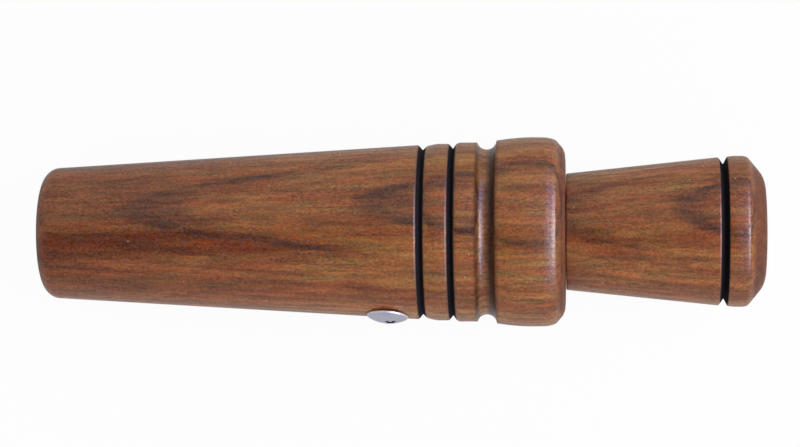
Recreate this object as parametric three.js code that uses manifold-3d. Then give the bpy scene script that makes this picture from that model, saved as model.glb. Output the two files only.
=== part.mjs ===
// A closed-reed fox call, turned from walnut. The flared mouthpiece plugs into the mouth of the long
// tapered barrel on two O-rings. Inside the barrel lies a toneboard: a round plug with a half-round nose
// that holds a brass reed, clamped by a cork wedge. A screw through the barrel's wall keeps it in place.
// Breath enters at the mouthpiece, beats the reed, and leaves as sound down the barrel and out of its bell.
//
// Millimetres. +X runs along the turning axis from the bell to the mouthpiece, and +Z is up as the call
// lies on its side with the screw towards -Y. The origin is on the turning axis, halfway along the call.
import * as THREE from "three";
import { mergeVertices } from "three/addons/utils/BufferGeometryUtils.js";
import Module from "manifold-3d";

// Clearances
const fit = 0.3; // round a piece that is seated in another
const faceGap = 0.1; // between the barrel's mouth and the mouthpiece's shoulder
const ringGap = 0.1; // between an O-ring and each wall that it seals

// Barrel: a straight taper, two beads between burned lines, a cove and a bulb
const barrelLength = 104.85;
const boreRadius = 7.95; // a 5/8 in bore
const boreChamfer = 0.4;
const bellRadius = 12.93; // where the taper would meet the end
const bellLand = 0.85; // the flat ring round the bore
const bellRound = 2.9; // from the end to where the lip's round runs into the taper
const taperEndRadius = 17.4;
const innerBeadWidth = 4.35;
const innerBeadRadius = 17.63;
const innerBeadSlope = 1.9; // its bell side slopes over this length
const innerBeadDrop = 0.43; // and by this much
const innerBeadRound = 1.6;
const outerBeadWidth = 3.95;
const outerBeadRadius = 17.87;
const outerBeadRound = 1.2;
const coveWidth = 3.9;
const coveDepth = 1.6;
const bulbLength = 13.7;
const bulbEdgeRadius = 18.25; // beside the cove
const bulbRadius = 18.87; // at its fullest
const bulbCrown = 7.4; // from the cove to the fullest circle
const shoulderDrop = 0.15; // from the fullest circle to the mouth's rounded shoulder
const shoulderRound = 3.6;
const barrelLineWidth = 1.7;
const barrelLineDepth = 1.0;

// Mouthpiece: a flare from the neck to a burned line, then the lip with its chamfered end
const neckRadius = 11.6;
const flareLength = 30.1;
const flareRadius = 14.73;
const lipLineWidth = 1.8;
const lipLineDepth = 1.4;
const lipLength = 3.75;
const lipRadius = 15.0;
const lipCrown = 0.25; // the lip is this much smaller beside the burned line
const endChamferLength = 3.72;
const endChamferDrop = 4.1;
const endRound = 4.3;
const airwayRadius = 4.0;
const airwayRound = 1.3;

// Tenon: the part of the mouthpiece that goes into the bore
const tenonLength = 16.0;
const tenonChamfer = 0.8;
const tenonWall = 2.25; // round the chamber that the toneboard's nose reaches into
const noseReach = 5.8; // how far the nose reaches into the tenon
const noseClearance = 0.5; // between the nose and the chamber's wall and floor
const ringSection = 1.5;
const ringSlack = 0.4; // a ring's groove is this much wider than the ring
const shoulderLand = 2.2; // from the shoulder to the first groove
const tenonLand = 7.9; // from the tenon's end to the other groove

// Screw: No. 6, 1/2 in long, with a truss head and a cross recess
const screwFromMouth = 35.5;
const screwClock = 15; // degrees above the barrel's -Y side
const screwBite = 3.2; // how far the point goes into the toneboard
const shankRadius = 1.75;
const pointLength = 3.0;
const headRadius = 4.1;
const headRim = 0.35;
const headDome = 1.3;
const recessSpan = 3.6;
const recessSlot = 0.9;
const recessDepth = 1.1;

// Toneboard, reed and wedge
const wedgeSeatLength = 6.0;
const seatWall = 1.0; // between the wedge's seat and the screw's hole
const tailWall = 4.0; // behind the screw's hole
const facingHeight = 0.6; // the reed's seat above the turning axis
const facingDrop = 0.6; // how far the facing has curved away at the nose's tip
const noseRound = 1.5;
const channelWidth = 3.6;
const channelRoof = 0.5; // between the sound channel's round part and the reed's seat
const channelTipWall = 2.4;
const reedThickness = 0.25;
const reedCurl = 0.3; // how far the reed's tip stands up
const reedSideInset = 0.5; // the reed is this much narrower than the facing on each side
const reedTipInset = 0.6; // and this much shorter than the nose
const reedCornerCut = 1.4;

// Facets
const turnedSides = 48;
const smallSides = 24;
const ringSides = 8;
const curveSteps = 8;
const lipSteps = 6;
const arcStep = THREE.MathUtils.degToRad(22.5);

const walnut = { color: 0x7d5238, roughness: 0.42, metalness: 0 };
const blackRubber = { color: 0x1c1c1c, roughness: 0.7, metalness: 0 };
const blackAcetal = { color: 0x23211f, roughness: 0.45, metalness: 0 };
const brass = { color: 0xc9a24a, roughness: 0.3, metalness: 1 };
const cork = { color: 0xb98b5e, roughness: 0.9, metalness: 0 };
const zincPlate = { color: 0xc3c9d2, roughness: 0.28, metalness: 1 };

// Places along the barrel from its bell end. The bulb, cove, beads and lines stack up from the mouth.
const bulbStart = barrelLength - bulbLength;
const coveStart = bulbStart - coveWidth;
const outerBeadStart = coveStart - outerBeadWidth;
const innerBeadEnd = outerBeadStart - barrelLineWidth;
const innerBeadStart = innerBeadEnd - innerBeadWidth;
const taperEnd = innerBeadStart - barrelLineWidth;
const screwX = barrelLength - screwFromMouth;

// Places along the mouthpiece from its shoulder, with the tenon on the minus side
const lipStart = flareLength + lipLineWidth;
const lipEnd = lipStart + lipLength;
const endFace = lipEnd + endChamferLength;
const grooveWidth = ringSection + ringSlack;
const grooveCentres = [-tenonLength + tenonLand + grooveWidth / 2, -shoulderLand - grooveWidth / 2];

// Places along the toneboard from the front of its plug, with the plug on the minus side
const holeRadius = shankRadius + fit;
const screwBehindFront = wedgeSeatLength + seatWall + holeRadius;
const plugLength = screwBehindFront + holeRadius + tailWall;
const plugFront = screwX + screwBehindFront;
const noseLength = barrelLength + faceGap - tenonLength + noseReach - plugFront;

// Radii and heights that follow from the fits
const innerRadius = boreRadius - fit; // of what is pushed into the bore
const chamberRadius = innerRadius - tenonWall;
const noseRadius = chamberRadius - noseClearance;
const channelRadius = channelWidth / 2;
const channelAxis = facingHeight - channelRoof - channelRadius;
const reedBase = facingHeight + fit;
const reedWidth = 2 * (Math.sqrt(noseRadius ** 2 - facingHeight ** 2) - reedSideInset);
const wide = 4 * bulbRadius; // cutters are this wide, so they pass right through

// The screw stands square to the taper, with its head a half fit off the wood.
const taperAngle = Math.atan((taperEndRadius - bellRadius) / taperEnd);
const headHeight = bellRadius + screwX * Math.tan(taperAngle) + fit / 2;
const screwLength = headHeight - innerRadius + screwBite;
const screwPlace = new THREE.Matrix4()
  .makeTranslation(screwX, -headHeight, 0)
  .multiply(new THREE.Matrix4().makeRotationZ(-taperAngle))
  .multiply(new THREE.Matrix4().makeRotationX(Math.PI / 2));

const wasm = await Module();
wasm.setup();

// A turned outline from its corners, each [distance along the axis, radius, rounding if it has one].
// The points are (radius, distance), in the order that LatheGeometry takes them, and close on themselves.
function outline(corners) {
  const points = corners.flatMap((corner, i) => {
    const sides = [corners.at(i - 1), corners[(i + 1) % corners.length]];
    return corner[2] ? roundedCorner(corner, sides) : [pointOf(corner)];
  });
  return [...points, points[0].clone()];
}

function pointOf([x, r]) {
  return new THREE.Vector2(r, x);
}

// The points of an arc that touches both sides of a corner.
function roundedCorner(corner, sides) {
  const apex = pointOf(corner);
  const [before, after] = sides.map((side) => pointOf(side).sub(apex).normalize());
  const half = Math.acos(before.dot(after)) / 2;
  const room = Math.min(...sides.map((side) => roomBetween(corner, side)));
  const reach = Math.min(corner[2] / Math.tan(half), room);
  const toCentre = before.clone().add(after).setLength(reach / Math.cos(half));
  const start = before.clone().multiplyScalar(reach).sub(toCentre);
  const turn = (2 * half - Math.PI) * Math.sign(before.cross(after));
  const steps = Math.ceil(Math.abs(turn) / arcStep);
  const middle = new THREE.Vector2();
  return Array.from({ length: steps + 1 }, (_, k) =>
    start.clone().rotateAround(middle, (turn * k) / steps).add(toCentre).add(apex),
  );
}

// How much of the side between two corners a rounding may use: half of it if both are rounded.
function roomBetween(corner, neighbour) {
  const length = pointOf(corner).distanceTo(pointOf(neighbour));
  return length * (neighbour[2] ? 0.49 : 0.98);
}

// The corners of a hollow arc between two points of an outline, both given as [distance, radius].
function cove(from, to, depth) {
  const chord = new THREE.Vector2(to[0] - from[0], to[1] - from[1]);
  const spread = 4 * Math.atan((2 * depth) / chord.length());
  const radius = chord.length() / 2 / Math.sin(spread / 2);
  const along = chord.clone().normalize();
  const out = new THREE.Vector2(-along.y, along.x);
  const steps = Math.ceil(spread / arcStep);
  return Array.from({ length: steps + 1 }, (_, k) => {
    const angle = spread * (k / steps - 0.5);
    return new THREE.Vector2(...from)
      .addScaledVector(chord, 0.5)
      .addScaledVector(along, radius * Math.sin(angle))
      .addScaledVector(out, radius * (Math.cos(spread / 2) - Math.cos(angle)))
      .toArray();
  });
}

// A line burned in with a hot wire: a V cut between two corners of an outline.
function burnedLine(from, to, depth) {
  return [from, [(from[0] + to[0]) / 2, Math.min(from[1], to[1]) - depth], to];
}

// Revolves corners about X.
function turned(corners) {
  return new THREE.LatheGeometry(outline(corners), turnedSides).rotateZ(-Math.PI / 2);
}

// A round bar along X, turned on the axis, with its front corner rounded if a rounding is given.
function bar(fromX, toX, radius, rounding) {
  return solid(turned([[fromX, 0], [fromX, radius], [toX, radius, rounding], [toX, 0]]));
}

function block(fromX, toX, width, fromZ, toZ) {
  const shape = new THREE.BoxGeometry(toX - fromX, width, toZ - fromZ);
  return solid(shape.translate((fromX + toX) / 2, 0, (fromZ + toZ) / 2));
}

// What lies between two curves of a side view, across a width in Y. Each curve is a height at a distance.
function slab(fromX, toX, width, bottom, top) {
  const step = (toX - fromX) / curveSteps;
  const places = Array.from({ length: curveSteps + 1 }, (_, k) => fromX + step * k);
  const lower = places.map((x) => new THREE.Vector2(x, bottom(x)));
  const upper = places.map((x) => new THREE.Vector2(x, top(x))).reverse();
  const side = new THREE.Shape([...lower, ...upper]);
  const shape = new THREE.ExtrudeGeometry(side, { depth: width, bevelEnabled: false });
  return solid(shape.rotateX(Math.PI / 2).translate(0, width / 2, 0));
}

function solid(geometry) {
  const bare = geometry.clone();
  bare.deleteAttribute("normal");
  bare.deleteAttribute("uv");
  const merged = mergeVertices(bare, 1e-4);
  const vertProperties = new Float32Array(merged.attributes.position.array);
  const triVerts = new Uint32Array(merged.index.array);
  return new wasm.Manifold(new wasm.Mesh({ numProp: 3, vertProperties, triVerts }));
}

function geometryOf(made) {
  const mesh = made.getMesh();
  const indexed = new THREE.BufferGeometry();
  indexed.setAttribute("position", new THREE.BufferAttribute(mesh.vertProperties, 3));
  indexed.setIndex(new THREE.BufferAttribute(mesh.triVerts, 1));
  const faceted = indexed.toNonIndexed();
  faceted.computeVertexNormals();
  return faceted;
}

function piece(name, geometry, finish) {
  const mesh = new THREE.Mesh(geometry, new THREE.MeshStandardMaterial(finish));
  mesh.name = name;
  return mesh;
}

// The hole that the screw passes down, in place along the barrel. It ends a fit below the point.
function screwHole() {
  const top = headDome;
  const bottom = -screwLength - fit;
  const hole = new THREE.CylinderGeometry(holeRadius, holeRadius, top - bottom, smallSides);
  return hole.rotateX(Math.PI / 2).translate(0, 0, (top + bottom) / 2).applyMatrix4(screwPlace);
}

// The bell's lip: a quarter of an oval from the flat ring round the bore out to the taper.
function bellLip() {
  const inner = boreRadius + boreChamfer + bellLand;
  const outer = bellRadius + bellRound * Math.tan(taperAngle);
  return Array.from({ length: lipSteps + 1 }, (_, k) => {
    const angle = (k / lipSteps) * (Math.PI / 2);
    return [bellRound * (1 - Math.cos(angle)), inner + (outer - inner) * Math.sin(angle)];
  });
}

function barrelGeometry() {
  const crownSteps = 3;
  const crown = Array.from({ length: crownSteps }, (_, k) => {
    const share = (k + 1) / crownSteps;
    const fall = (bulbRadius - bulbEdgeRadius) * (1 - share) ** 2;
    return [bulbStart + bulbCrown * share, bulbRadius - fall];
  });
  const innerBead = [innerBeadStart, innerBeadRadius - innerBeadDrop, innerBeadRound];
  const outerBead = [outerBeadStart, outerBeadRadius, outerBeadRound];
  const blank = turned([
    [0, boreRadius + boreChamfer],
    ...bellLip(),
    ...burnedLine([taperEnd, taperEndRadius], innerBead, barrelLineDepth),
    [innerBeadStart + innerBeadSlope, innerBeadRadius, innerBeadRound],
    ...burnedLine([innerBeadEnd, innerBeadRadius], outerBead, barrelLineDepth),
    ...cove([coveStart, outerBeadRadius], [bulbStart, bulbEdgeRadius], coveDepth),
    ...crown,
    [barrelLength, bulbRadius - shoulderDrop, shoulderRound],
    [barrelLength, boreRadius + boreChamfer],
    [barrelLength - boreChamfer, boreRadius],
    [boreChamfer, boreRadius],
  ]);
  const hole = screwHole().rotateX(THREE.MathUtils.degToRad(-screwClock));
  return geometryOf(solid(blank).subtract(solid(hole)));
}

// The shoulder is at 0, with the tenon behind it.
function mouthpieceGeometry() {
  const grooveFloor = boreRadius - 2 * ringGap - ringSection;
  const grooves = grooveCentres.flatMap((x) => [
    [x - grooveWidth / 2, innerRadius],
    [x - grooveWidth / 2, grooveFloor],
    [x + grooveWidth / 2, grooveFloor],
    [x + grooveWidth / 2, innerRadius],
  ]);
  const chamberFloor = -tenonLength + noseReach + noseClearance;
  return turned([
    [-tenonLength, chamberRadius],
    [-tenonLength, innerRadius - tenonChamfer],
    [-tenonLength + tenonChamfer, innerRadius],
    ...grooves,
    [0, innerRadius],
    [0, neckRadius],
    ...burnedLine([flareLength, flareRadius], [lipStart, lipRadius - lipCrown], lipLineDepth),
    [lipStart + lipCrown, lipRadius],
    [lipEnd, lipRadius],
    [endFace, lipRadius - endChamferDrop, endRound],
    [endFace, airwayRadius, airwayRound],
    [chamberFloor, airwayRadius],
    [chamberFloor, chamberRadius],
  ]);
}

function ringGeometry() {
  const middle = boreRadius - ringGap - ringSection / 2;
  const corners = Array.from({ length: ringSides }, (_, k) => {
    const angle = (2 * Math.PI * k) / ringSides;
    return [(ringSection / 2) * Math.sin(angle), middle + (ringSection / 2) * Math.cos(angle)];
  });
  return turned(corners);
}

// How much of its full drop or curl a curved surface has at a distance in front of the plug.
function curveShare(x) {
  return Math.max(0, x / noseLength) ** 2;
}

// The plug's front is at 0, with the nose on the plus side. The facing on top carries the reed. Under it
// runs the sound channel, a slot with a round floor and end, which goes on through the plug as a hole.
function toneboardGeometry() {
  const facing = (x) => facingHeight - facingDrop * curveShare(x);
  const aboveFacing = slab(-wedgeSeatLength, noseLength + 1, wide, facing, () => wide);
  const channelEnd = noseLength - channelTipWall - channelRadius;
  const ball = new THREE.SphereGeometry(channelRadius, smallSides, smallSides / 2);
  const mouth = new THREE.CylinderGeometry(channelRadius, channelRadius, channelWidth, smallSides);
  mouth.rotateX(Math.PI / 2).translate(0, 0, channelRadius);
  const bore = new THREE.CylinderGeometry(channelRadius, channelRadius, wide, smallSides);
  bore.rotateZ(Math.PI / 2).translate(channelEnd - wide / 2, 0, channelAxis);
  const hole = screwHole().translate(-plugFront, 0, 0);
  return geometryOf(
    bar(-plugLength, 0, innerRadius)
      .add(bar(-fit, noseLength, noseRadius, noseRound))
      .subtract(aboveFacing)
      .subtract(solid(bore))
      .subtract(solid(ball.translate(channelEnd, 0, channelAxis)))
      .subtract(solid(mouth.translate(channelEnd, 0, channelAxis)))
      .subtract(block(0, channelEnd, channelWidth, channelAxis, channelAxis + channelWidth))
      .subtract(solid(hole)),
  );
}

// A flat brass tongue with its corners cut off, which curls up a little towards its tip.
function reedGeometry() {
  const tail = fit - wedgeSeatLength;
  const tip = noseLength - reedTipInset;
  const side = reedWidth / 2;
  const underside = (x) => reedBase + reedCurl * curveShare(x);
  const plan = new THREE.Shape([
    new THREE.Vector2(tail, -side),
    new THREE.Vector2(tip - reedCornerCut, -side),
    new THREE.Vector2(tip, reedCornerCut - side),
    new THREE.Vector2(tip, side - reedCornerCut),
    new THREE.Vector2(tip - reedCornerCut, side),
    new THREE.Vector2(tail, side),
  ]);
  const cutter = new THREE.ExtrudeGeometry(plan, { depth: wide, bevelEnabled: false });
  const strip = slab(tail, tip, wide, underside, (x) => underside(x) + reedThickness);
  return geometryOf(strip.intersect(solid(cutter)));
}

// The wedge fills what is left of the bore above the reed's tail.
function wedgeGeometry() {
  const round = bar(fit - wedgeSeatLength, 0, innerRadius);
  return geometryOf(round.intersect(block(-wide, wide, wide, reedBase + reedThickness + fit, wide)));
}

// The screw points down -Z, with the underside of its head at 0.
function screwGeometry() {
  const domeSteps = 5;
  const sphereRadius = (headRadius ** 2 + headDome ** 2) / (2 * headDome);
  const spread = 2 * Math.atan(headDome / headRadius);
  const dome = Array.from({ length: domeSteps }, (_, k) => {
    const angle = spread * (1 - k / domeSteps);
    const height = headRim + headDome - sphereRadius * (1 - Math.cos(angle));
    return new THREE.Vector2(sphereRadius * Math.sin(angle), height);
  });
  const points = [
    new THREE.Vector2(0, -screwLength),
    new THREE.Vector2(shankRadius, pointLength - screwLength),
    new THREE.Vector2(shankRadius, 0),
    new THREE.Vector2(headRadius, 0),
    ...dome,
    new THREE.Vector2(0, headRim + headDome),
  ];
  const blank = solid(new THREE.LatheGeometry(points, smallSides).rotateX(Math.PI / 2));
  const recessFloor = headRim + headDome - recessDepth;
  const slots = [-Math.PI / 4, Math.PI / 4].map((turn) => {
    const slot = new THREE.BoxGeometry(recessSpan, recessSlot, 2 * recessDepth);
    return solid(slot.translate(0, 0, recessFloor + recessDepth).rotateZ(turn));
  });
  return geometryOf(blank.subtract(slots[0]).subtract(slots[1]));
}

const barrel = piece("barrel", barrelGeometry(), walnut);

const mouthpiece = new THREE.Group();
mouthpiece.position.x = barrelLength + faceGap;
mouthpiece.add(piece("mouthpiece", mouthpieceGeometry(), walnut));
["reed_side_o_ring", "lip_side_o_ring"].forEach((name, i) => {
  const ring = piece(name, ringGeometry(), blackRubber);
  ring.position.x = grooveCentres[i];
  mouthpiece.add(ring);
});

const toneboard = new THREE.Group();
toneboard.position.x = plugFront;
toneboard.add(piece("toneboard", toneboardGeometry(), blackAcetal));
toneboard.add(piece("reed", reedGeometry(), brass));
toneboard.add(piece("reed_wedge", wedgeGeometry(), cork));

const screw = piece("retaining_screw", screwGeometry(), zincPlate);
screw.applyMatrix4(screwPlace);

// The toneboard is turned in the bore with its side to the screw.
const voice = new THREE.Group();
voice.rotation.x = THREE.MathUtils.degToRad(-screwClock);
voice.add(toneboard, screw);

const foxCall = new THREE.Group();
foxCall.position.x = -(barrelLength + faceGap + endFace) / 2;
foxCall.add(barrel, mouthpiece, voice);

export default foxCall;
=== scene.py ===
import math

import bmesh
import bpy
from mathutils import Matrix, Vector


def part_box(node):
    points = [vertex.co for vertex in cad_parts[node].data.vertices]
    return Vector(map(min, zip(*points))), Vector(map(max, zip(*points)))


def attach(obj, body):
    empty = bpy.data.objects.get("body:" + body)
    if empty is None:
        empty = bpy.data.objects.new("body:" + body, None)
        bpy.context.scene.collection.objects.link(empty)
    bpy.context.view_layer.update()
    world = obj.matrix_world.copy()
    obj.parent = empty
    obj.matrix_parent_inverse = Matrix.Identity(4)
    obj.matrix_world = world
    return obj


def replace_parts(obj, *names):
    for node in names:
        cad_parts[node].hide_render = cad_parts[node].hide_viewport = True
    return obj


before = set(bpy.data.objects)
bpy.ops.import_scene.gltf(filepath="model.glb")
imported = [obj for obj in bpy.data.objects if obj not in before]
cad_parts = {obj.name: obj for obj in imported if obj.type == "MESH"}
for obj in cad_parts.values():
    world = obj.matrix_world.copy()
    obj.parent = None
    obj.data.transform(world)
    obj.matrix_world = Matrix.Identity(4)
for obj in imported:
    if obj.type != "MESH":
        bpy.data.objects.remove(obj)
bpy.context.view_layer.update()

# The barrel: one walnut blank, bored 5/8 in right through and turned. From the bell it has a straight
# taper, two beads behind burned lines, a hollow for a lanyard and a rounded bulb. The lines were charred
# with a hot wire, and the whole was sanded and finished with a satin-gloss lacquer.

MM = 0.001
SAME_PLACE = 1e-6
WELD = 1e-7
TURNED_SIDES = 144
LONGEST_EDGE = 1.6 * MM
ROUNDING_STEP = 8  # degrees
SHARP = math.radians(32)


def select_where(test, edges=False):
    """Selects only the vertices, or only the edges, that pass a test in edit mode, and counts them."""
    bpy.ops.mesh.select_mode(type="EDGE" if edges else "VERT")
    bpy.ops.mesh.select_all(action="DESELECT")
    mesh = bmesh.from_edit_mesh(bpy.context.object.data)
    chosen = [part for part in (mesh.edges if edges else mesh.verts) if test(part)]
    for part in chosen:
        part.select = True
    mesh.select_flush_mode()
    bmesh.update_edit_mesh(bpy.context.object.data)
    return len(chosen)


def select_at(*places):
    """Selects only the vertices at these places in edit mode."""
    select_where(lambda vertex: any((vertex.co - place).length < SAME_PLACE for place in places))


def drawn(places, closed):
    """An outline through these places, left in edit mode. A closed one ends where it starts."""
    bpy.ops.object.select_all(action="DESELECT")
    bpy.ops.mesh.primitive_plane_add(size=MM)
    bpy.ops.object.mode_set(mode="EDIT")
    bpy.ops.mesh.select_mode(type="VERT")
    bpy.ops.mesh.merge(type="CENTER")
    bpy.ops.transform.translate(value=places[0])
    for place, following in zip(places, places[1:]):
        bpy.ops.mesh.extrude_region_move(TRANSFORM_OT_translate={"value": following - place})
    if closed:
        select_at(places[0], places[-1])
        bpy.ops.mesh.edge_face_add()
    return bpy.context.object


def turned(name, corners, sides=TURNED_SIDES, closed=True):
    """A piece turned about X. Each corner of its outline is a distance along the axis, a radius and,
    where the corner is rounded, the radius of that rounding, in millimetres. An outline that isn't
    closed starts and ends on the axis."""
    places = [Vector((corner[0], 0, corner[1])) * MM for corner in corners]
    piece = drawn(places, closed)
    piece.name = piece.data.name = name
    for i, corner in enumerate(corners):
        if len(corner) == 3:
            before = (places[i - 1] - places[i]).normalized()
            after = (places[(i + 1) % len(places)] - places[i]).normalized()
            half = before.angle(after) / 2
            select_at(places[i])
            steps = max(3, round(math.degrees(math.pi - 2 * half) / ROUNDING_STEP))
            bpy.ops.mesh.bevel(offset=corner[2] * MM / math.tan(half), affect="VERTICES", segments=steps)
    # Long edges are halved until they shade evenly.
    while select_where(lambda edge: edge.calc_length() > LONGEST_EDGE, edges=True):
        bpy.ops.mesh.subdivide(number_cuts=1)
    bpy.ops.mesh.select_mode(type="VERT")
    bpy.ops.mesh.select_all(action="SELECT")
    bpy.ops.mesh.spin(steps=sides, angle=2 * math.pi, center=(0, 0, 0), axis=(1, 0, 0))
    bpy.ops.mesh.select_all(action="SELECT")
    bpy.ops.mesh.remove_doubles(threshold=WELD)
    bpy.ops.mesh.normals_make_consistent(inside=False)
    bpy.ops.object.mode_set(mode="OBJECT")
    bpy.ops.object.shade_smooth_by_angle(angle=SHARP)
    return piece


def hollow(start, end, depth, steps=14):
    """The corners of a hollow arc between two corners of an outline."""
    chord = end - start
    spread = 4 * math.atan(2 * depth / chord.length)
    radius = chord.length / 2 / math.sin(spread / 2)
    along = chord.normalized()
    out = Vector((-along.y, along.x))
    turns = [spread * (k / steps - 0.5) for k in range(steps + 1)]
    return [tuple((start + end) / 2 + along * radius * math.sin(turn)
                  + out * radius * (math.cos(spread / 2) - math.cos(turn))) for turn in turns]


def crown(start, end, steps=10):
    """Corners from an edge up to the fullest circle, along a curve that is level there."""
    return [(start.x + (end.x - start.x) * k / steps, end.y - (end.y - start.y) * (1 - k / steps) ** 2)
            for k in range(1, steps + 1)]


def lip_round(end, inside, outside, length, steps=12):
    """Corners from an end's crest round its lip, along a quarter of an ellipse."""
    turns = [math.radians(90 * k / steps) for k in range(steps + 1)]
    return [(end + length * (1 - math.cos(turn)), inside + (outside - inside) * math.sin(turn))
            for turn in turns]


# Places along the barrel, then radii. A line is a V between the two places beside it.
BELL_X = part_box("barrel")[0].x / MM
TAPER_END, INNER_BEAD, INNER_BEAD_END, OUTER_BEAD, COVE, BULB, MOUTH = (
    BELL_X + place for place in (75.55, 77.25, 81.6, 83.3, 87.25, 91.15, 104.85))
INNER_LINE = (TAPER_END + INNER_BEAD) / 2
OUTER_LINE = (INNER_BEAD_END + OUTER_BEAD) / 2
INNER_BEAD_SLOPE, BULB_CROWN = 1.9, 7.4
BORE, BORE_CHAMFER = 7.95, 0.4
LIP_INSIDE, LIP_ROUND, LIP_OUTSIDE = 9.2, 3.4, 13.12
TAPER_OUT, INNER_BEAD_OUT, OUTER_BEAD_OUT = 17.4, 17.63, 17.87
INNER_LINE_FLOOR, OUTER_LINE_FLOOR, INNER_BEAD_DROP = 16.35, 16.6, 0.43
BULB_EDGE_OUT, BULB_OUT, COVE_DEPTH = 18.25, 18.87, 1.6

barrel = turned("barrel_turned", [
    (BELL_X, BORE + BORE_CHAMFER, 0.15),
    *lip_round(BELL_X, LIP_INSIDE, LIP_OUTSIDE, LIP_ROUND),
    (TAPER_END, TAPER_OUT, 0.55),
    (INNER_LINE, INNER_LINE_FLOOR, 0.15),
    (INNER_BEAD, INNER_BEAD_OUT - INNER_BEAD_DROP, 1.3),
    (INNER_BEAD + INNER_BEAD_SLOPE, INNER_BEAD_OUT, 5.0),
    (INNER_BEAD_END, INNER_BEAD_OUT, 0.6),
    (OUTER_LINE, OUTER_LINE_FLOOR, 0.15),
    (OUTER_BEAD, OUTER_BEAD_OUT, 1.2),
    *hollow(Vector((COVE, OUTER_BEAD_OUT)), Vector((BULB, BULB_EDGE_OUT)), COVE_DEPTH),
    *crown(Vector((BULB, BULB_EDGE_OUT)), Vector((BULB + BULB_CROWN, BULB_OUT))),
    (MOUTH - 3.8, BULB_OUT - 0.04, 5.0),
    (MOUTH - 2.6, BULB_OUT - 0.3, 2.0),
    (MOUTH - 1.9, BULB_OUT - 0.63, 0.25),
    (MOUTH - 0.6, BULB_OUT - 2.12, 0.8),
    (MOUTH - 0.15, BULB_OUT - 3.17, 1.0),
    (MOUTH, BULB_OUT - 4.67, 2.0),
    (MOUTH, BORE + BORE_CHAMFER, 0.15),
    (MOUTH - BORE_CHAMFER, BORE),
    (BELL_X + BORE_CHAMFER, BORE),
])


def cut_away(piece, cutter):
    """Cuts the cutter out of a piece, and takes the cutter away."""
    bpy.ops.object.select_all(action="DESELECT")
    piece.select_set(True)
    bpy.context.view_layer.objects.active = piece
    cut = piece.modifiers.new("cut", "BOOLEAN")
    cut.object = cutter
    cut.solver = "EXACT"
    bpy.ops.object.modifier_apply(modifier=cut.name)
    bpy.data.objects.remove(cutter)
    bpy.ops.object.shade_smooth_by_angle(angle=SHARP)


# The screw's hole is drilled through the wall, square to the taper and 15 degrees up from the side. The
# screw's own space has the underside of its head at the origin and +Z out of the wood.
SCREW_X, SCREW_SEAT_OUT = BELL_X + 69.5, 17.05
SCREW_CLOCK, TAPER_SLOPE = 15, 3.386  # degrees
SCREW_HOLE = 2.05
DRILL_LENGTH, DRILL_MIDDLE = 14, -4
screw_place = (Matrix.Rotation(math.radians(-SCREW_CLOCK), 4, "X")
               @ Matrix.Translation(Vector((SCREW_X, -SCREW_SEAT_OUT, 0)) * MM)
               @ Matrix.Rotation(math.radians(-TAPER_SLOPE), 4, "Z")
               @ Matrix.Rotation(math.radians(90), 4, "X"))
bpy.ops.object.select_all(action="DESELECT")
bpy.ops.mesh.primitive_cylinder_add(vertices=48, radius=SCREW_HOLE * MM, depth=DRILL_LENGTH * MM,
                                    location=(0, 0, DRILL_MIDDLE * MM))
drill = bpy.context.object
bpy.ops.object.transform_apply(location=True, rotation=False, scale=False)
drill.data.transform(screw_place)
cut_away(barrel, drill)


def linear(colour):
    """An sRGB hex colour as the linear one that Blender's sockets take."""
    parts = [int(colour[i:i + 2], 16) / 255 for i in (0, 2, 4)]
    return [p / 12.92 if p <= 0.04045 else ((p + 0.055) / 1.055) ** 2.4 for p in parts] + [1.0]


def grey(value):
    """A linear grey, or a plain number for a ramp."""
    return (value, value, value, 1.0)


def add(tree, kind, inputs=None, **settings):
    """Adds a shader node with its settings. An input gets a value, or a link if it is given an output."""
    made = tree.nodes.new("ShaderNode" + kind)
    for setting, value in settings.items():
        setattr(made, setting, value)
    for socket, value in (inputs or {}).items():
        if isinstance(value, bpy.types.NodeSocket):
            tree.links.new(value, made.inputs[socket])
        else:
            made.inputs[socket].default_value = value
    return made


def maths(tree, operation, *values):
    """What a Math node makes of these values."""
    return add(tree, "Math", dict(enumerate(values)), operation=operation).outputs[0]


def largest(tree, values):
    """The largest of these values."""
    most = values[0]
    for value in values[1:]:
        most = maths(tree, "MAXIMUM", most, value)
    return most


def between(tree, value, low, high, to_low=0.0, to_high=1.0, **settings):
    """A value that goes from to_low to to_high as another goes from low to high, and is level beyond."""
    return add(tree, "MapRange", {"Value": value, "From Min": low, "From Max": high, "To Min": to_low,
                                  "To Max": to_high}, **settings).outputs[0]


def ramp(tree, value, stops):
    """The colour for a value. Each stop is a value and its colour."""
    made = add(tree, "ValToRGB", {0: value})
    marks = made.color_ramp.elements
    marks.remove(marks[1])
    marks[0].position, marks[0].color = stops[0]
    for place, colour in stops[1:]:
        marks.new(place).color = colour
    return made.outputs[0]


def mixed(tree, share, one, other, blend="MIX"):
    """One colour with a share of the other laid over it."""
    return add(tree, "Mix", {0: share, 6: one, 7: other}, data_type="RGBA", blend_type=blend).outputs[2]


def material(name):
    """A new material and its node tree, emptied."""
    made = bpy.data.materials.new(name)
    made.use_nodes = True
    made.node_tree.nodes.clear()
    return made, made.node_tree


def millimetres(tree, lean=0.0):
    """Places on the piece in millimetres, turned by some degrees about X."""
    place = add(tree, "TexCoord").outputs["Object"]
    return add(tree, "Mapping", {"Vector": place, "Rotation": (math.radians(lean), 0, 0),
                                 "Scale": (1 / MM, 1 / MM, 1 / MM)}).outputs[0]


def cells(tree, place, size, move=(0, 0, 0)):
    """Places counted in cells of this size in millimetres each way."""
    return add(tree, "Mapping", {"Vector": place, "Location": move,
                                 "Scale": [1 / length for length in size]}).outputs[0]


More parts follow.
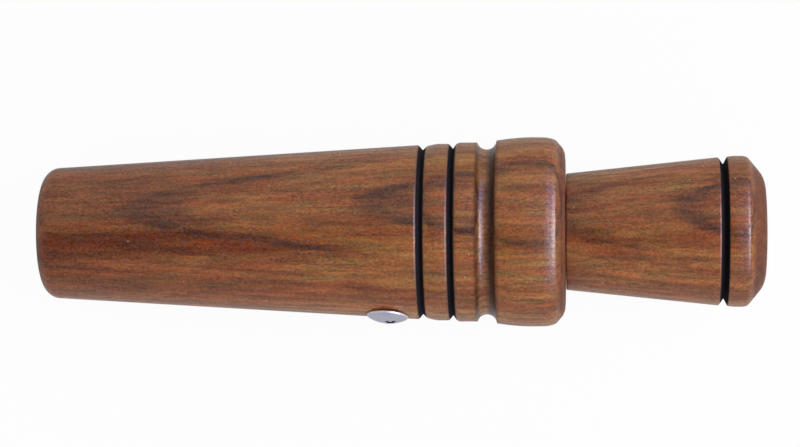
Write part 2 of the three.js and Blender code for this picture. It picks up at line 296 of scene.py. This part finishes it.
def noise(tree, place, size, detail, roughness=0.5, move=(0, 0, 0)):
    """A noise about 0.5 in cells of this size in millimetres each way."""
    return add(tree, "TexNoise", {"Vector": cells(tree, place, size, move), "Scale": 1.0, "Detail": detail,
                                  "Roughness": roughness}).outputs[0]


def relief(tree, height, strength, depth, **settings):
    """The slopes of a relief this many millimetres deep."""
    return add(tree, "Bump", {"Height": height, "Strength": strength, "Distance": depth * MM},
               **settings).outputs[0]


def end_in(tree, shader, kind="Material"):
    """Ends a node tree in this shader."""
    tree.links.new(shader, tree.nodes.new("ShaderNodeOutput" + kind).inputs["Surface"])


def surface(tree, inputs):
    """Ends a material's node tree in the usual surface, with these inputs."""
    end_in(tree, add(tree, "BsdfPrincipled", inputs).outputs[0])


RING_LEAN = 19.7  # degrees from straight up to the direction in which the growth rings follow each other
PITH = 200.0  # millimetres from the turning axis down to the tree's pith
REACH = 20.0  # millimetres up and down from the turning axis that the rings are given for
# The dark rings, each a height over the axis and a strength, and the tone of the wood at some heights,
# from 0, reddish and dark, to 1, yellowish and light. All are listed.
RINGS = [(16.8, 1.0), (14.0, 0.9), (12.2, 0.3), (10.5, 0.25), (8.6, 0.5), (6.6, 0.3), (4.9, 0.5), (2.6, 0.4),
         (0.2, 0.6), (-2.3, 0.4), (-4.7, 0.8), (-7.2, 0.4), (-9.6, 0.7), (-12.1, 0.5), (-14.5, 0.8),
         (-17.0, 0.5)]
TONES = [(-18, 0.5), (-12, 0.65), (-7, 0.35), (-2, 0.6), (3, 0.55), (5.2, 0.3), (8.2, 0.25), (9.8, 0.6),
         (12.0, 0.6), (13.7, 0.45), (15.2, 0.6), (16.8, 0.4), (19, 0.5)]


def at(height):
    """Where a height across the rings is on their ramps."""
    return (height + REACH) / (2 * REACH)


def growth_rings(tree, across, along, fade):
    """How dark the rings are. Each comes on softly from above and ends sharply below, and the second one
    dies out over the stretch fade. A ramp takes 32 stops at most, so there are several."""
    lines = []
    for group in (RINGS[:1], RINGS[1:2], RINGS[2:9], RINGS[9:]):
        stops = [(0.0, grey(0.0))]
        for height, strength in reversed(group):
            stops += [(at(height - 0.25), grey(0.0)), (at(height), grey(strength)),
                      (at(height + 0.15), grey(strength * 0.85)), (at(height + 0.8), grey(0.0))]
        lines.append(ramp(tree, across, stops))
    lines[1] = maths(tree, "MULTIPLY", lines[1], between(tree, along, *fade, 1.0, 0.0))
    return largest(tree, lines)


def wood_colour(tree, log, across, along, around):
    """The wood's own colour, without its rings and fibres."""
    # From reddish brown to yellowish brown, and yellower towards the middle of the call.
    tone = ramp(tree, across, [(at(height), grey(value)) for height, value in TONES])
    drift = between(tree, noise(tree, log, (30, 2.2, 2.2), 3.0, move=(3.1, 0.4, 1.7)), 0.3, 0.7)
    tone = maths(tree, "MULTIPLY_ADD", drift, 0.6, tone)
    tone = maths(tree, "MULTIPLY_ADD", between(tree, along, -60, 0), 0.42, tone)
    tone = maths(tree, "MULTIPLY_ADD", between(tree, along, 30, 40), -0.1, tone)
    colour = ramp(tree, between(tree, tone, 0.2, 1.8), [
        (0.05, linear("6c3b22")), (0.5, linear("8a4e2b")), (0.95, linear("aa7444"))])
    # It runs from reddish to olive in streaks.
    hue = ramp(tree, noise(tree, log, (14, 1.7, 1.7), 3.0, 0.65, (8, 2, 6)), [
        (0.36, (1.07, 0.87, 0.73, 1.0)), (0.64, (0.88, 1.12, 0.92, 1.0))])
    colour = mixed(tree, 1.0, colour, hue, "MULTIPLY")
    # A redder streak of heartwood runs up from the bell and dies out half-way.
    heart = maths(tree, "MULTIPLY_ADD", noise(tree, log, (20, 3, 3), 2.0, move=(4, 4, 1)), 3.0, around)
    heart = ramp(tree, between(tree, heart, -12, 0), [
        (0.3, grey(0.0)), (0.45, grey(1.0)), (0.68, grey(1.0)), (0.83, grey(0.0))])
    heart = maths(tree, "MULTIPLY", heart, between(tree, along, -30, 0, 1.0, 0.0))
    return mixed(tree, heart, colour, linear("dcbca6"), "MULTIPLY")


def pores(tree, log):
    """The open pores, up to 0.2 mm wide and 1 mm long, here and there crowded: 1 inside them."""
    tube = cells(tree, log, (1.6, 0.33, 0.33))
    off = add(tree, "TexVoronoi", {"Vector": tube, "Scale": 1.0, "Randomness": 1.0}).outputs["Distance"]
    crowd = between(tree, noise(tree, log, (20, 4, 4), 1.0, move=(1, 9, 4)), 0.35, 0.65, 0.05, 0.24)
    return between(tree, maths(tree, "SUBTRACT", off, crowd), 0.0, 0.12, 1.0, 0.0)


def walnut(name, shift, lines, ends, fade, browned_and_shaded=()):
    """Black walnut under satin-gloss lacquer: warm brown with dark latewood lines, fine fibres, short open
    pores along the grain, and darker, duller end grain. shift is how much nearer to the pith this piece was
    cut, lines are the charred lines, each a place and a width, ends are the stretches over which the end
    grain sets in, fade is where the second ring dies out, and browned_and_shaded are darker lines of painted
    shade, partly browned wood, each a place, a width and a strength. All but the strengths are in
    millimetres."""
    finish, tree = material(name)
    # The log's own millimetres: x along the grain, z across the rings.
    log = millimetres(tree, RING_LEAN)
    along, around = add(tree, "SeparateXYZ", {0: log}).outputs[:2]

    def off(centre):
        """The distance along the axis from a place."""
        return maths(tree, "ABSOLUTE", maths(tree, "ADD", along, -centre))

    # Height across the rings, over the turning axis, with the bow and the wander of real grain.
    from_pith = add(tree, "VectorMath", {0: log, 1: (0, 0, PITH)}, operation="ADD").outputs[0]
    from_pith = add(tree, "VectorMath", {0: from_pith, 1: (0, 1, 1)}, operation="MULTIPLY").outputs[0]
    height = add(tree, "VectorMath", {0: from_pith}, operation="LENGTH").outputs["Value"]
    height = maths(tree, "MULTIPLY_ADD", noise(tree, log, (40, 16, 16), 1.0), 0.6, height)
    height = maths(tree, "MULTIPLY_ADD", noise(tree, log, (8, 1.5, 1.5), 2.0, 0.6), 0.42, height)
    mean_wander = 0.55  # about what the two noises add
    height = maths(tree, "ADD", height, shift - PITH - mean_wander)
    across = between(tree, height, -REACH, REACH)
    dark = growth_rings(tree, across, along, fade)
    broken = between(tree, noise(tree, log, (12, 3, 3), 2.0, move=(5, 2, 1)), 0.3, 0.6, 0.65, 1.0)
    dark = maths(tree, "MULTIPLY", dark, broken)

    # Fibres, 0.4 mm apart, streaks of a few of them, a mottle that is painted reflection in the colour and a
    # ripple in the relief, and a faint painted haze of reflection from the lacquer.
    fibre = noise(tree, log, (2.6, 0.38, 0.38), 3.0, 0.75)
    streak = noise(tree, log, (10, 0.9, 0.9), 3.0, 0.6, (2, 5, 5))
    mottle = noise(tree, log, (0.6, 0.45, 0.45), 2.0, 0.8, (7, 3, 0))
    painted_haze = noise(tree, log, (0.5, 0.4, 0.4), 1.0, move=(3, 8, 2))
    dark = maths(tree, "MULTIPLY", dark, between(tree, streak, 0.35, 0.6, 1.1, 0.75))
    colour = mixed(tree, dark, wood_colour(tree, log, across, along, around), linear("4a2a1d"))
    colour = mixed(tree, 1.0, colour, between(tree, streak, 0.35, 0.6, 0.7, 1.12), "MULTIPLY")
    colour = mixed(tree, 1.0, colour, between(tree, fibre, 0.35, 0.62, 0.82, 1.12), "MULTIPLY")
    # Painted reflection in the colour: the mottle, then the haze.
    colour = mixed(tree, 1.0, colour, between(tree, mottle, 0.35, 0.65, 0.72, 1.2), "MULTIPLY")
    colour = mixed(tree, 1.0, colour, between(tree, painted_haze, 0.4, 0.65, 0.0, 0.024), "ADD")
    pore = pores(tree, log)
    colour = mixed(tree, maths(tree, "MULTIPLY", pore, 0.55), colour, linear("3d2115"))
    # Painted glints: light specks up to 0.3 mm across and about a centimetre apart.
    glint = add(tree, "TexVoronoi", {"Vector": log, "Scale": 0.3, "Randomness": 1.0}).outputs["Distance"]
    colour = mixed(tree, between(tree, glint, 0.02, 0.045, 0.8, 0.0), colour, linear("d9c8be"))

    end_grain = largest(tree, [between(tree, along, *stretch) for stretch in ends])
    colour = mixed(tree, end_grain, colour, linear("bda697"), "MULTIPLY")
    # Painted shade, partly browned wood: darker lines round the call.
    for centre, width, strength in browned_and_shaded:
        brown = between(tree, off(centre), width / 8, width / 2, strength, 0.0)
        colour = mixed(tree, brown, colour, linear("241410"))
    # The wood is browned up to each charred line.
    burned = largest(tree, [between(tree, off(centre), width / 2 - 0.35, width / 2 + 0.15, 1.0, 0.0)
                            for centre, width in lines])
    colour = mixed(tree, burned, colour, linear("1c100c"))
    rough = maths(tree, "MULTIPLY_ADD", burned, 0.5, between(tree, fibre, 0.3, 0.7, 0.2, 0.12))
    rough = maths(tree, "MULTIPLY_ADD", end_grain, 0.25, rough)
    raised = maths(tree, "MULTIPLY_ADD", mottle, 1.6, maths(tree, "SUBTRACT", fibre, pore))
    surface(tree, {"Base Color": colour, "Roughness": rough, "IOR": 1.45,
                   "Normal": relief(tree, raised, 0.8, 0.06)})
    return finish


def charred_walnut():
    """Walnut burned by a hot wire: black charcoal, dead matt and finely cracked."""
    finish, tree = material("charred_walnut")
    cracks = noise(tree, millimetres(tree), (1 / 3, 1 / 3, 1 / 3), 2.0)
    colour = ramp(tree, cracks, [(0.35, linear("070505")), (0.7, linear("171010"))])
    surface(tree, {"Base Color": colour, "Roughness": 0.8, "Specular IOR Level": 0.15,
                   "Normal": relief(tree, cracks, 0.5, 0.05)})
    return finish


charcoal = charred_walnut()
OUTSIDE = 12.0  # millimetres from the axis, further out than the bore and the tenon


def char(piece, start, end):
    """Gives the outer faces between two places along the axis, in millimetres, the charred finish."""
    for face in piece.data.polygons:
        place = face.center / MM
        if start < place.x < end and math.hypot(place.y, place.z) > OUTSIDE:
            face.material_index = 1


barrel.data.materials.append(walnut(
    "lacquered_walnut_barrel", 0.0,
    lines=[(INNER_LINE, INNER_BEAD - TAPER_END), (OUTER_LINE, OUTER_BEAD - INNER_BEAD_END)],
    ends=[(BELL_X + 1.6, BELL_X + 0.2), (MOUTH - 1.9, MOUTH - 0.8)], fade=(-15, 0),
    # The darker lines on the walls of the hollow are painted shade. The one by the bulb is partly browned
    # wood.
    browned_and_shaded=[(BULB - 0.65, 2.8, 0.9), (COVE + 0.15, 1.2, 0.5)]))
barrel.data.materials.append(charcoal)
char(barrel, TAPER_END + 0.3, INNER_BEAD - 0.2)
char(barrel, INNER_BEAD_END + 0.3, OUTER_BEAD - 0.25)
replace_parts(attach(barrel, "barrel"), "barrel")

# The toneboard: a bar of black acetal. Its plug is pushed up the bore until its cross hole meets the
# screw, and its half-round nose has a curved facing with a ball-ended sound channel, both milled.


def dress(node, finish):
    """Gives a CAD node, whose shape is right as it is, a better material."""
    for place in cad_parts[node].material_slots:
        place.material = finish


def machined_acetal():
    """Black acetal off the lathe and the mill: a low gloss, broken by fine tool marks round the bar. They are
    0.1 mm apart on the real one, and drawn twice as coarse, so that they show."""
    finish, tree = material("machined_black_acetal")
    marks = noise(tree, millimetres(tree), (0.2, 5, 5), 2.0)
    colour = ramp(tree, marks, [(0.3, linear("0b0b0c")), (0.7, linear("19191b"))])
    rough = between(tree, marks, 0.0, 1.0, 0.3, 0.48)
    surface(tree, {"Base Color": colour, "Roughness": rough, "IOR": 1.48,
                   "Normal": relief(tree, marks, 0.3, 0.02)})
    return finish


dress("toneboard", machined_acetal())

# The reed: a tongue of brass shim, 0.25 mm thick, sheared to width with its tip's corners cut and curled a
# little over the facing, so that breath sets it beating.


def rolled_brass():
    """Brass shim as rolled: fine bright lines along the sheet and the first brown of handling."""
    finish, tree = material("rolled_brass_shim")
    place = millimetres(tree)
    lines = noise(tree, place, (1 / 0.12, 1 / 8, 1 / 8), 2.0)
    handled = noise(tree, place, (2.5, 2.5, 2.5), 3.0)
    colour = ramp(tree, handled, [(0.35, linear("c99b52")), (0.6, linear("e2bd72"))])
    rough = between(tree, handled, 0.35, 0.6, 0.42, 0.26)
    surface(tree, {"Base Color": colour, "Metallic": 1.0, "Roughness": rough,
                   "Normal": relief(tree, lines, 0.25, 0.01)})
    return finish


dress("reed", rolled_brass())

# The wedge: a half-round slip of natural cork, cut with a knife and pressed in over the reed's tail, where
# it grips without glue.


def cut_cork():
    """Natural cork: matt tan grains under a millimetre across, with dark brown pores and flecks."""
    finish, tree = material("cut_natural_cork")
    place = millimetres(tree)
    grain = cells(tree, place, (1 / 1.3, 1 / 1.3, 1 / 1.3))
    grains = add(tree, "TexVoronoi", {"Vector": grain, "Scale": 1.0}).outputs
    flecks = noise(tree, place, (2, 1 / 1.4, 1 / 1.4), 4.0, 0.7)
    colour = ramp(tree, flecks, [(0.36, linear("5a3a20")), (0.43, linear("a87c4c")), (0.6, linear("c79b66"))])
    tint = add(tree, "SeparateColor", {0: grains["Color"]}).outputs[0]
    colour = mixed(tree, 1.0, colour, between(tree, tint, 0.0, 1.0, 0.82, 1.05), "MULTIPLY")
    surface(tree, {"Base Color": colour, "Roughness": 0.9, "IOR": 1.3,
                   "Normal": relief(tree, grains["Distance"], 0.5, 0.08, invert=True)})
    return finish


dress("reed_wedge", cut_cork())

# The retaining screw: a No. 6 truss-head wood screw of zinc-plated steel. It passes through the barrel's
# wall into the plug of the toneboard. The head is cold-formed with its cross recess, the thread rolled.

HEAD, RIM, DOME = 4.1, 0.35, 1.15
SHANK, CORE, POINT = 1.72, 1.3, 3.0
SCREW_LENGTH = 12.73  # so that the point is 3.3 mm deep in the toneboard
PLAIN_SHANK, THREAD_RUNOUT, THREAD_PITCH, RIDGE = 0.9, 0.3, 1.6, 0.72
SCREW_SIDES, TURN_STEPS, DOME_STEPS = 96, 32, 8

dome_radius = (HEAD ** 2 + DOME ** 2) / (2 * DOME)
dome_top = RIM + DOME


def dome_at(radius):
    """How far out of the wood the dome is at a radius, in millimetres."""
    return dome_top - dome_radius + math.sqrt(max(dome_radius ** 2 - radius ** 2, 0))


dome = [(dome_at(HEAD * k / DOME_STEPS), HEAD * k / DOME_STEPS) for k in range(DOME_STEPS)]
screw = turned("retaining_screw_plated", [
    *dome,
    (RIM, HEAD, 0.25),
    (0.0, HEAD - 0.05, 0.08),
    (0.0, SHANK, 0.15),
    (-PLAIN_SHANK, SHANK),
    (-PLAIN_SHANK - THREAD_RUNOUT, CORE),
    (POINT - SCREW_LENGTH, CORE),
    (-SCREW_LENGTH, 0.0),
], sides=SCREW_SIDES, closed=False)

# The thread: a ridge wound round the core, with its ends closed.
thread = drawn([Vector((POINT - SCREW_LENGTH + along, 0, out)) * MM for along, out in (
    (0.0, CORE - 0.1), (0.3, SHANK), (RIDGE - 0.3, SHANK), (RIDGE, CORE - 0.1))], closed=True)
bpy.ops.object.mode_set(mode="OBJECT")
turns = int((SCREW_LENGTH - POINT - PLAIN_SHANK - THREAD_RUNOUT - RIDGE) / THREAD_PITCH)
winding = thread.modifiers.new("winding", "SCREW")
winding.axis = "X"
winding.angle = 2 * math.pi * turns
winding.screw_offset = THREAD_PITCH * MM * turns
winding.steps = winding.render_steps = TURN_STEPS * turns
winding.use_smooth_shade = True
bpy.ops.object.modifier_apply(modifier=winding.name)
bpy.ops.object.mode_set(mode="EDIT")
bpy.ops.mesh.select_all(action="SELECT")
bpy.ops.mesh.remove_doubles(threshold=WELD)
bpy.ops.mesh.fill_holes(sides=4)
bpy.ops.mesh.select_all(action="SELECT")
bpy.ops.mesh.normals_make_consistent(inside=False)
bpy.ops.object.mode_set(mode="OBJECT")

# The recess: two crossed slots that narrow to the bottom, punched a little off the centre.
SLOT_DEPTH, SLOT_WIDTH, SLOT_SPAN, SLOT_OFF_CENTRE = 1.1, 0.95, 3.7, 0.7
for turn in (45, 135):
    bpy.ops.object.select_all(action="DESELECT")
    bpy.ops.mesh.primitive_cube_add(size=MM)
    slot = bpy.context.object
    bpy.ops.object.mode_set(mode="EDIT")
    bpy.ops.mesh.select_all(action="SELECT")
    bpy.ops.transform.resize(value=(2 * SLOT_DEPTH, SLOT_WIDTH, SLOT_SPAN))
    bpy.ops.transform.translate(value=(dome_top * MM, 0, 0))
    select_where(lambda vertex: vertex.co.x < dome_top * MM)
    bpy.ops.transform.resize(value=(1, 0.6, 0.45))
    bpy.ops.object.mode_set(mode="OBJECT")
    slot.data.transform(Matrix.Translation((0, 0, -SLOT_OFF_CENTRE * MM))
                        @ Matrix.Rotation(math.radians(turn), 4, "X"))
    cut_away(screw, slot)
bpy.ops.object.select_all(action="DESELECT")
thread.select_set(True)
screw.select_set(True)
bpy.context.view_layer.objects.active = screw
bpy.ops.object.join()
screw.data.transform(screw_place @ Matrix.Rotation(math.radians(-90), 4, "Y"))


def zinc_plate(name, low, high, metallic):
    """Zinc on steel: a cool silver with the faint cloudiness of barrel plating, between two colours. With a
    lower metallic it is paler, as for the painted highlight on the rim."""
    finish, tree = material(name)
    cloud = noise(tree, millimetres(tree), (1 / 1.2, 1 / 1.2, 1 / 1.2), 4.0, 0.65)
    colour = ramp(tree, cloud, [(0.3, linear(low)), (0.65, linear(high))])
    rough = between(tree, cloud, 0.3, 0.7, 0.34, 0.26)
    surface(tree, {"Base Color": colour, "Metallic": metallic, "Roughness": rough,
                   "Normal": relief(tree, cloud, 0.15, 0.004)})
    return finish


def recess_painted_shade():
    """Painted shade in the recess: dull, patchy and nearly black."""
    finish, tree = material("recess_painted_shade")
    patchy = noise(tree, millimetres(tree), (0.5, 0.5, 0.5), 2.0)
    colour = ramp(tree, patchy, [(0.35, linear("1d1c20")), (0.7, linear("3b3a42"))])
    surface(tree, {"Base Color": colour, "Roughness": 0.6})
    return finish


screw.data.materials.append(zinc_plate("bright_zinc_plate", "dfe1f6", "eeeffe", 1.0))
# Painted shade for the recess.
screw.data.materials.append(recess_painted_shade())
# A paler, less metallic zinc: painted highlight on the rim.
screw.data.materials.append(zinc_plate("zinc_rim_painted_highlight", "e4dfe8", "f4eef6", 0.4))
# In the screw's own space, the faces under the dome's surface are the recess, painted in shade, and the low
# ones far out are the rim, with a painted highlight.
RECESS_REACH, RIM_WIDTH = 3.0, 0.3
to_screw = screw_place.inverted()
for face in screw.data.polygons:
    place = to_screw @ face.center / MM
    radius = place.to_2d().length
    if 0.05 < place.z < dome_at(radius) - 0.06 and radius < RECESS_REACH:
        face.material_index = 1
    elif 0 < place.z < RIM + 0.05 and radius > HEAD - RIM_WIDTH:
        face.material_index = 2
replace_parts(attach(screw, "barrel"), "retaining_screw")

# The mouthpiece: turned from the end of the same blank, so that the grain runs on. A flare grows from the
# neck to a burned line, and the lip behind it is chamfered and rounded. Its tenon plugs into the bore.

# Places along the mouthpiece, then radii. The tenon has a wider chamber in its end for the toneboard's
# nose, and its grooves leave the O-rings a little room.
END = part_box("mouthpiece")[1].x / MM
SHOULDER = END - 39.37
FLARE_END, LIP = SHOULDER + 30.1, SHOULDER + 31.9
TENON_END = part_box("mouthpiece")[0].x / MM
CHAMBER_END = TENON_END + 6.3
TENON, TENON_CHAMFER = BORE - 0.3, 0.8
CHAMBER, AIRWAY = TENON - 2.25, 4.0
NECK, FLARE_OUT, LIP_LINE_FLOOR, LIP_OUT, END_OUT = 11.6, 14.73, 13.3, 15.0, 10.5
RING_SECTION, RING_GAP, GROOVE_HALF = 1.5, 0.1, 0.95
GROOVE_FLOOR = BORE - 2 * RING_GAP - RING_SECTION

ring_centres = [sum(corner.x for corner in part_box(node)) / 2 / MM for node in
                ("reed_side_o_ring", "lip_side_o_ring")]
grooves = [corner for centre in ring_centres for corner in (
    (centre - GROOVE_HALF, TENON, 0.12), (centre - GROOVE_HALF, GROOVE_FLOOR, 0.25),
    (centre + GROOVE_HALF, GROOVE_FLOOR, 0.25), (centre + GROOVE_HALF, TENON, 0.12))]
mouthpiece = turned("mouthpiece_turned", [
    (TENON_END, CHAMBER, 0.3),
    (TENON_END, TENON - TENON_CHAMFER),
    (TENON_END + TENON_CHAMFER, TENON),
    *grooves,
    (SHOULDER, TENON, 0.2),
    (SHOULDER, NECK, 0.3),
    (FLARE_END, FLARE_OUT, 0.4),
    (FLARE_END + 1.0, LIP_LINE_FLOOR, 0.15),
    (LIP, LIP_OUT - 0.15, 0.3),
    (LIP + 1.2, LIP_OUT, 2.0),
    (LIP + 2.9, LIP_OUT, 6.0),
    (LIP + 3.9, LIP_OUT - 0.12, 1.2),
    (END, END_OUT, 4.4),
    (END, AIRWAY, 1.3),
    (CHAMBER_END, AIRWAY),
    (CHAMBER_END, CHAMBER, 0.4),
])
mouthpiece.data.materials.append(walnut(
    "lacquered_walnut_mouthpiece", 3.0, lines=[(FLARE_END + 0.95, LIP - FLARE_END)],
    ends=[(LIP + 4.4, LIP + 5.2)], fade=(40, 55)))
mouthpiece.data.materials.append(charcoal)
char(mouthpiece, FLARE_END + 0.35, LIP - 0.15)
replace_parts(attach(mouthpiece, "mouthpiece"), "mouthpiece")

# The O-rings: two moulded rings of black nitrile rubber, 1.5 mm thick, rolled over the tenon into its
# grooves. They seal the tenon in the bore, hold it by friction, and let it turn and pull out.

RING_MIDDLE = GROOVE_FLOOR + RING_GAP + RING_SECTION / 2
bpy.ops.object.select_all(action="DESELECT")
bpy.ops.mesh.primitive_torus_add(major_segments=120, minor_segments=24, major_radius=RING_MIDDLE * MM,
                                 minor_radius=RING_SECTION / 2 * MM, rotation=(0, math.pi / 2, 0),
                                 location=(ring_centres[0] * MM, 0, 0))
bpy.ops.object.transform_apply(location=True, rotation=True, scale=False)
o_ring = bpy.context.object
# The mould's parting line stands a little proud round the outside and the inside.
for line, grown in ((RING_MIDDLE + RING_SECTION / 2, 1.003), (RING_MIDDLE - RING_SECTION / 2, 0.995)):
    bpy.ops.object.mode_set(mode="EDIT")
    select_where(lambda vertex: abs(math.hypot(vertex.co.y, vertex.co.z) - line * MM) < SAME_PLACE)
    bpy.ops.transform.resize(value=(1, grown, grown), center_override=(ring_centres[0] * MM, 0, 0))
    bpy.ops.object.mode_set(mode="OBJECT")
bpy.ops.object.shade_smooth()


def moulded_rubber():
    """Nitrile rubber from the mould: black with a soft sheen and a faint grey bloom."""
    finish, tree = material("moulded_black_rubber")
    bloom = noise(tree, millimetres(tree), (2, 2, 2), 5.0, 0.7)
    colour = ramp(tree, bloom, [(0.4, linear("0d0d0e")), (0.7, linear("1f1f21"))])
    rough = between(tree, bloom, 0.0, 1.0, 0.4, 0.65)
    surface(tree, {"Base Color": colour, "Roughness": rough, "IOR": 1.52,
                   "Normal": relief(tree, bloom, 0.3, 0.02)})
    return finish


o_ring.data.materials.append(moulded_rubber())
bpy.ops.object.duplicate()
other_ring = bpy.context.object
other_ring.data.transform(Matrix.Translation(((ring_centres[1] - ring_centres[0]) * MM, 0, 0)))
for ring, node in ((o_ring, "reed_side_o_ring"), (other_ring, "lip_side_o_ring")):
    ring.name = ring.data.name = node + "_moulded"
    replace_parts(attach(ring, "seals"), node)

# The camera and the table. The call lies on its bulb and on the rim of its bell, so the table is 3.5
# degrees off the turning axis. The camera looks straight down on it from 600 mm.

BULB_REST = Vector((BELL_X + 98.5, 0, -BULB_OUT))
BELL_REST = Vector((BELL_X + 2.9, 0, -13.1))
REST_SLOPE = math.atan((BELL_REST.z - BULB_REST.z) / (BULB_REST.x - BELL_REST.x))
UP = Vector((math.sin(REST_SLOPE), 0, math.cos(REST_SLOPE)))
PICTURE_UP = Vector((0, 1, 0))
CAMERA_HEIGHT, CAMERA_TURN = 600, -0.165  # millimetres and degrees
AIM = Vector((-0.4, 1.74, 0))
TABLE_SIZE = 6.0  # metres

camera = bpy.data.objects.new("camera", bpy.data.cameras.new("camera"))
bpy.context.collection.objects.link(camera)
camera.data.sensor_width = 36
camera.data.lens = 135
camera.location = (AIM + UP * CAMERA_HEIGHT) * MM
sight = Matrix((PICTURE_UP.cross(UP), PICTURE_UP, UP)).transposed()
camera.rotation_euler = (sight @ Matrix.Rotation(math.radians(CAMERA_TURN), 3, "Z")).to_euler()
bpy.context.scene.camera = camera
bpy.context.scene.view_settings.view_transform = "Standard"

bpy.ops.object.select_all(action="DESELECT")
bpy.ops.mesh.primitive_plane_add(size=TABLE_SIZE)
table = bpy.context.object
table.name = "table"
table.data.transform(Matrix.Translation(BULB_REST * MM) @ Matrix.Rotation(REST_SLOPE, 4, "Y"))


def white_paper():
    """White paper: nearly white to the camera, with a little of the call's shadow left, and darker where
    the lacquer and the screw mirror it."""
    finish, tree = material("white_paper_sweep")
    ray = add(tree, "LightPath").outputs
    seen = largest(tree, [ray["Is Camera Ray"], ray["Is Transmission Ray"], ray["Is Glossy Ray"]])
    brightness = maths(tree, "MULTIPLY_ADD", ray["Is Glossy Ray"], -0.56, 1.0)
    matt = add(tree, "BsdfDiffuse", {"Color": linear("f2f2f2")})
    bright = add(tree, "Emission", {"Color": linear("ffffff"), "Strength": brightness})
    both = add(tree, "MixShader", {0: maths(tree, "MULTIPLY", seen, 0.95), 1: matt.outputs[0],
                                   2: bright.outputs[0]})
    end_in(tree, both.outputs[0])
    return finish


table.data.materials.append(white_paper())

# The light: a white tent, as the world, and two soft boxes. The camera sees the tent plain white, matt
# surfaces get an even light from it that is strongest from low down, and glossy ones mirror its walls and
# its window.

world = bpy.data.worlds.new("light_tent")
bpy.context.scene.world = world
world.use_nodes = True
tree = world.node_tree
tree.nodes.clear()
toward = add(tree, "SeparateXYZ", {0: add(tree, "TexCoord").outputs["Generated"]}).outputs


def shine(colour, strength):
    """Light of this colour from the world."""
    return add(tree, "Background", {"Color": colour, "Strength": strength}).outputs[0]


# The walls are paler on the far side, and dark in a wide oval round the camera, where the tent is open.
OPENING = ((-0.25, 0.6), (-0.12, 0.42))  # its middle and half its size, along x and y
walls = between(tree, toward[1], -0.5, 0.5, 0.3, 0.66, interpolation_type="SMOOTHSTEP")
squares = []
for direction, (middle, half) in zip(toward, OPENING):
    off = maths(tree, "MULTIPLY", maths(tree, "ADD", direction, -middle), 1 / half)
    squares.append(maths(tree, "POWER", off, 2.0))
off = maths(tree, "POWER", maths(tree, "ADD", *squares), 0.5)
opening = between(tree, off, 0.5, 1.2, 1.0, 0.0, interpolation_type="SMOOTHSTEP")
mirrored = add(tree, "MixShader", {0: opening, 1: shine(linear("f4f3f6"), walls),
                                   2: shine(linear("606060"), 0.1)})

# The window is towards the mouthpiece, brighter and whiter down its height, bluer to its sides, and ends
# in a dark sill.
glass = ramp(tree, toward[0], [
    (0.02, grey(0.0)), (0.2, (0.06, 0.07, 0.12, 1.0)), (0.42, (0.2, 0.24, 0.36, 1.0)),
    (0.6, (0.4, 0.4, 0.52, 1.0)), (0.72, (0.98, 0.94, 1.0, 1.0)), (0.82, (0.98, 0.94, 1.0, 1.0)),
    (0.88, grey(0.03)), (1.0, grey(0.03))])
pane = ramp(tree, maths(tree, "ABSOLUTE", toward[1]), [(0.15, grey(1.0)), (0.55, (0.24, 0.36, 0.62, 1.0))])
above_sill = between(tree, toward[2], 0.12, 0.4, 0.0, 16.0, interpolation_type="SMOOTHSTEP")
window_light = shine(mixed(tree, 1.0, glass, pane, "MULTIPLY"), above_sill)
mirrored = add(tree, "AddShader", {0: mirrored.outputs[0], 1: window_light})

even = shine(linear("ffffff"), between(tree, toward[2], 0.0, 0.6, 1.95, 0.42))
ray = add(tree, "LightPath").outputs
both = add(tree, "MixShader", {0: ray["Is Glossy Ray"], 1: even, 2: mirrored.outputs[0]})
both = add(tree, "MixShader", {0: ray["Is Camera Ray"], 1: both.outputs[0], 2: shine(linear("ffffff"), 1.0)})
end_in(tree, both.outputs[0], "World")


def lamp(name, direction, distance, size, power, colour):
    """A soft box in this direction and at this distance in metres from the call, aimed at it. Glossy
    surfaces don't see it, because they mirror the tent instead."""
    made = bpy.data.objects.new(name, bpy.data.lights.new(name, "AREA"))
    bpy.context.collection.objects.link(made)
    made.data.shape = "RECTANGLE"
    made.data.size, made.data.size_y = size
    made.data.energy = power
    made.data.color = linear(colour)[:3]
    away = Vector(direction).normalized()
    made.location = away * distance
    made.rotation_euler = away.to_track_quat("Z", "Y").to_euler()
    made.visible_glossy = False


WINDOW_LEAN = math.radians(50)
lamp("window", (math.sin(WINDOW_LEAN), 0.05, math.cos(WINDOW_LEAN)), 0.35, (0.05, 0.8), 0.86, "fff2fa")
lamp("fill", (-0.25, -0.9, 0.45), 0.6, (0.5, 0.35), 0.6, "fff8f0")
